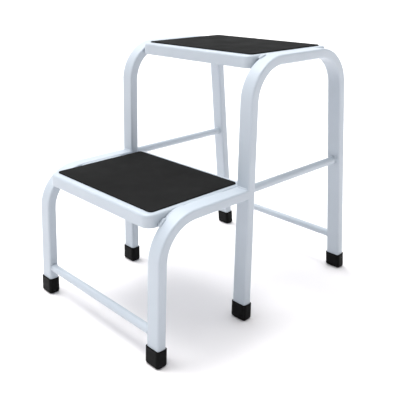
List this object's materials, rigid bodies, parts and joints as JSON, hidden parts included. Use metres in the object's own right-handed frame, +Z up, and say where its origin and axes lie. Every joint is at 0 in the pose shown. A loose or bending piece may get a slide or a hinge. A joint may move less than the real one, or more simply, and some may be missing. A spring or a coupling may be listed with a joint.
{
  "type": "step stool",
  "caption": "Welded steel step stool with stepped treads, black rubber mats, bent tube side frames and rubber feet.",
  "frame": {"origin": "centre of the footprint, on the floor", "axes": "+Z up, the lower step faces -Y, +X is the stool's right-hand side"},
  "size_m": [0.31, 0.447, 0.4083],
  "materials": {
    "white_enamel": "semi-gloss white powder coat",
    "mat_rubber": "matte black rubber",
    "foot_rubber": "satin black rubber",
    "zinc_steel": "zinc plated"
  },
  "bodies": {
    "root": {"cross_bar_welds": "white_enamel", "ferrule_front_left": "foot_rubber", "ferrule_front_right": "foot_rubber", "ferrule_middle_left": "foot_rubber", "ferrule_middle_right": "foot_rubber", "ferrule_rear_left": "foot_rubber", "ferrule_rear_right": "foot_rubber", "ferrule_washer_front_left": "zinc_steel", "ferrule_washer_front_right": "zinc_steel", "ferrule_washer_middle_left": "zinc_steel", "ferrule_washer_middle_right": "zinc_steel", "ferrule_washer_rear_left": "zinc_steel", "ferrule_washer_rear_right": "zinc_steel", "front_bar": "white_enamel", "low_frame_left": "white_enamel", "low_frame_right": "white_enamel", "lower_tray_welds": "white_enamel", "lower_tread_mat": "mat_rubber", "lower_tread_stiffener": "white_enamel", "lower_tread_tray": "white_enamel", "rail_welds": "white_enamel", "rear_bar": "white_enamel", "side_bar_left": "white_enamel", "side_bar_right": "white_enamel", "side_bar_welds": "white_enamel", "tall_frame_left": "white_enamel", "tall_frame_right": "white_enamel", "upper_tray_welds": "white_enamel", "upper_tread_mat": "mat_rubber", "upper_tread_stiffener": "white_enamel", "upper_tread_tray": "white_enamel"}
  },
  "joints": []
}
